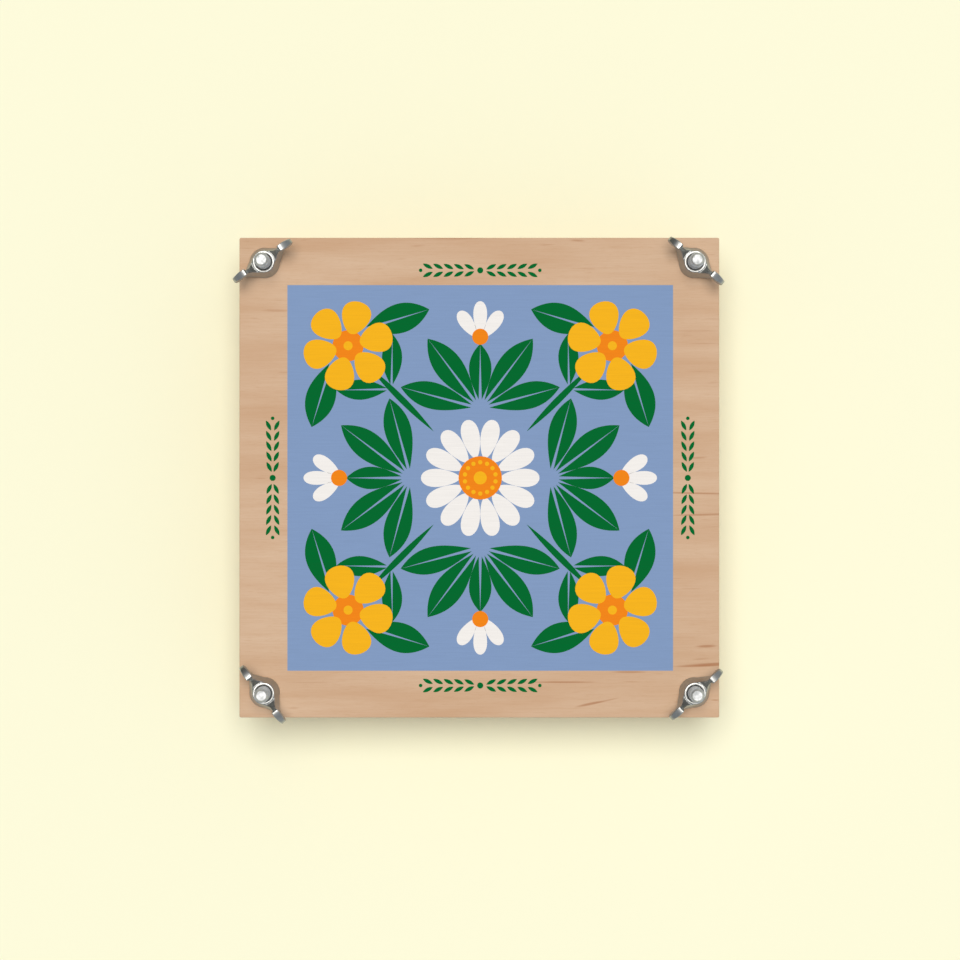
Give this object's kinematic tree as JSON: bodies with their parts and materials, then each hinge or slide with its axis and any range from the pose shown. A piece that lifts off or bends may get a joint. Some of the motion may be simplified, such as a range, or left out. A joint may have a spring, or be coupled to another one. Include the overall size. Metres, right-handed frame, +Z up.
{
  "type": "flower press",
  "caption": "Square plywood flower press: a printed lid on bolts with wing nuts clamps a stack of corrugated card and blotting paper.",
  "frame": {"origin": "centre of the underside, on the surface that the press stands on", "axes": "+X to the right and +Y to the back as the printed lid is read, +Z up along the bolts"},
  "size_m": [0.1932, 0.1916, 0.06],
  "materials": {
    "birch_plywood": "sanded, unvarnished",
    "zinc_bolt_steel": "zinc plated",
    "zinc_nut_casting": "cast, zinc plated",
    "corrugated_card": "kraft",
    "blotting_paper": "soft, unsized"
  },
  "bodies": {
    "base": {"bottom_board": "birch_plywood", "bolt_front_left": "zinc_bolt_steel", "bolt_front_right": "zinc_bolt_steel", "bolt_back_left": "zinc_bolt_steel", "bolt_back_right": "zinc_bolt_steel"},
    "lid": {"top_board": "birch_plywood"},
    "nut_front_left": {"wing_nut_front_left": "zinc_nut_casting"},
    "nut_front_right": {"wing_nut_front_right": "zinc_nut_casting"},
    "nut_back_left": {"wing_nut_back_left": "zinc_nut_casting"},
    "nut_back_right": {"wing_nut_back_right": "zinc_nut_casting"},
    "card_1_leaf": {"card_1": "corrugated_card"},
    "blotter_1_leaf": {"blotter_1": "blotting_paper"},
    "blotter_2_leaf": {"blotter_2": "blotting_paper"},
    "card_2_leaf": {"card_2": "corrugated_card"},
    "blotter_3_leaf": {"blotter_3": "blotting_paper"},
    "blotter_4_leaf": {"blotter_4": "blotting_paper"},
    "card_3_leaf": {"card_3": "corrugated_card"},
    "blotter_5_leaf": {"blotter_5": "blotting_paper"},
    "blotter_6_leaf": {"blotter_6": "blotting_paper"},
    "card_4_leaf": {"card_4": "corrugated_card"},
    "blotter_7_leaf": {"blotter_7": "blotting_paper"},
    "blotter_8_leaf": {"blotter_8": "blotting_paper"},
    "card_5_leaf": {"card_5": "corrugated_card"},
    "blotter_9_leaf": {"blotter_9": "blotting_paper"},
    "blotter_10_leaf": {"blotter_10": "blotting_paper"},
    "card_6_leaf": {"card_6": "corrugated_card"}
  },
  "joints": [
    {"name": "lid_lift", "type": "slide", "parent": "base", "child": "lid", "axis": [0, 0, 1], "range_m": [0, 0.014]},
    {"name": "wing_nut_front_left_turn", "type": "hinge", "parent": "lid", "child": "nut_front_left", "pos_m": [-0.085, -0.085, 0.042], "axis": [0, 0, 1], "range_deg": [0, 5040]},
    {"name": "wing_nut_front_right_turn", "type": "hinge", "parent": "lid", "child": "nut_front_right", "pos_m": [0.085, -0.085, 0.042], "axis": [0, 0, 1], "range_deg": [0, 5040]},
    {"name": "wing_nut_back_left_turn", "type": "hinge", "parent": "lid", "child": "nut_back_left", "pos_m": [-0.085, 0.085, 0.042], "axis": [0, 0, 1], "range_deg": [0, 5040]},
    {"name": "wing_nut_back_right_turn", "type": "hinge", "parent": "lid", "child": "nut_back_right", "pos_m": [0.085, 0.085, 0.042], "axis": [0, 0, 1], "range_deg": [0, 5040]},
    {"name": "card_1_lift", "type": "slide", "parent": "base", "child": "card_1_leaf", "axis": [0, 0, 1], "range_m": [0, 0.0005]},
    {"name": "blotter_1_lift", "type": "slide", "parent": "base", "child": "blotter_1_leaf", "axis": [0, 0, 1], "range_m": [0, 0.001]},
    {"name": "blotter_2_lift", "type": "slide", "parent": "base", "child": "blotter_2_leaf", "axis": [0, 0, 1], "range_m": [0, 0.0026]},
    {"name": "card_2_lift", "type": "slide", "parent": "base", "child": "card_2_leaf", "axis": [0, 0, 1], "range_m": [0, 0.0031]},
    {"name": "blotter_3_lift", "type": "slide", "parent": "base", "child": "blotter_3_leaf", "axis": [0, 0, 1], "range_m": [0, 0.0036]},
    {"name": "blotter_4_lift", "type": "slide", "parent": "base", "child": "blotter_4_leaf", "axis": [0, 0, 1], "range_m": [0, 0.0052]},
    {"name": "card_3_lift", "type": "slide", "parent": "base", "child": "card_3_leaf", "axis": [0, 0, 1], "range_m": [0, 0.0057]},
    {"name": "blotter_5_lift", "type": "slide", "parent": "base", "child": "blotter_5_leaf", "axis": [0, 0, 1], "range_m": [0, 0.0062]},
    {"name": "blotter_6_lift", "type": "slide", "parent": "base", "child": "blotter_6_leaf", "axis": [0, 0, 1], "range_m": [0, 0.0078]},
    {"name": "card_4_lift", "type": "slide", "parent": "base", "child": "card_4_leaf", "axis": [0, 0, 1], "range_m": [0, 0.0083]},
    {"name": "blotter_7_lift", "type": "slide", "parent": "base", "child": "blotter_7_leaf", "axis": [0, 0, 1], "range_m": [0, 0.0088]},
    {"name": "blotter_8_lift", "type": "slide", "parent": "base", "child": "blotter_8_leaf", "axis": [0, 0, 1], "range_m": [0, 0.0104]},
    {"name": "card_5_lift", "type": "slide", "parent": "base", "child": "card_5_leaf", "axis": [0, 0, 1], "range_m": [0, 0.0109]},
    {"name": "blotter_9_lift", "type": "slide", "parent": "base", "child": "blotter_9_leaf", "axis": [0, 0, 1], "range_m": [0, 0.0114]},
    {"name": "blotter_10_lift", "type": "slide", "parent": "base", "child": "blotter_10_leaf", "axis": [0, 0, 1], "range_m": [0, 0.013]},
    {"name": "card_6_lift", "type": "slide", "parent": "base", "child": "card_6_leaf", "axis": [0, 0, 1], "range_m": [0, 0.0135]}
  ],
  "couplings": [
    {"joint": "wing_nut_front_left_turn", "follows": "lid_lift", "rad_per_m": 6283.2},
    {"joint": "wing_nut_front_right_turn", "follows": "lid_lift", "rad_per_m": 6283.2},
    {"joint": "wing_nut_back_left_turn", "follows": "lid_lift", "rad_per_m": 6283.2},
    {"joint": "wing_nut_back_right_turn", "follows": "lid_lift", "rad_per_m": 6283.2},
    {"joint": "card_1_lift", "follows": "lid_lift", "ratio": 0.035714},
    {"joint": "blotter_1_lift", "follows": "lid_lift", "ratio": 0.071429},
    {"joint": "blotter_2_lift", "follows": "lid_lift", "ratio": 0.18571},
    {"joint": "card_2_lift", "follows": "lid_lift", "ratio": 0.22143},
    {"joint": "blotter_3_lift", "follows": "lid_lift", "ratio": 0.25714},
    {"joint": "blotter_4_lift", "follows": "lid_lift", "ratio": 0.37143},
    {"joint": "card_3_lift", "follows": "lid_lift", "ratio": 0.40714},
    {"joint": "blotter_5_lift", "follows": "lid_lift", "ratio": 0.44286},
    {"joint": "blotter_6_lift", "follows": "lid_lift", "ratio": 0.55714},
    {"joint": "card_4_lift", "follows": "lid_lift", "ratio": 0.59286},
    {"joint": "blotter_7_lift", "follows": "lid_lift", "ratio": 0.62857},
    {"joint": "blotter_8_lift", "follows": "lid_lift", "ratio": 0.74286},
    {"joint": "card_5_lift", "follows": "lid_lift", "ratio": 0.77857},
    {"joint": "blotter_9_lift", "follows": "lid_lift", "ratio": 0.81429},
    {"joint": "blotter_10_lift", "follows": "lid_lift", "ratio": 0.92857},
    {"joint": "card_6_lift", "follows": "lid_lift", "ratio": 0.96429}
  ]
}
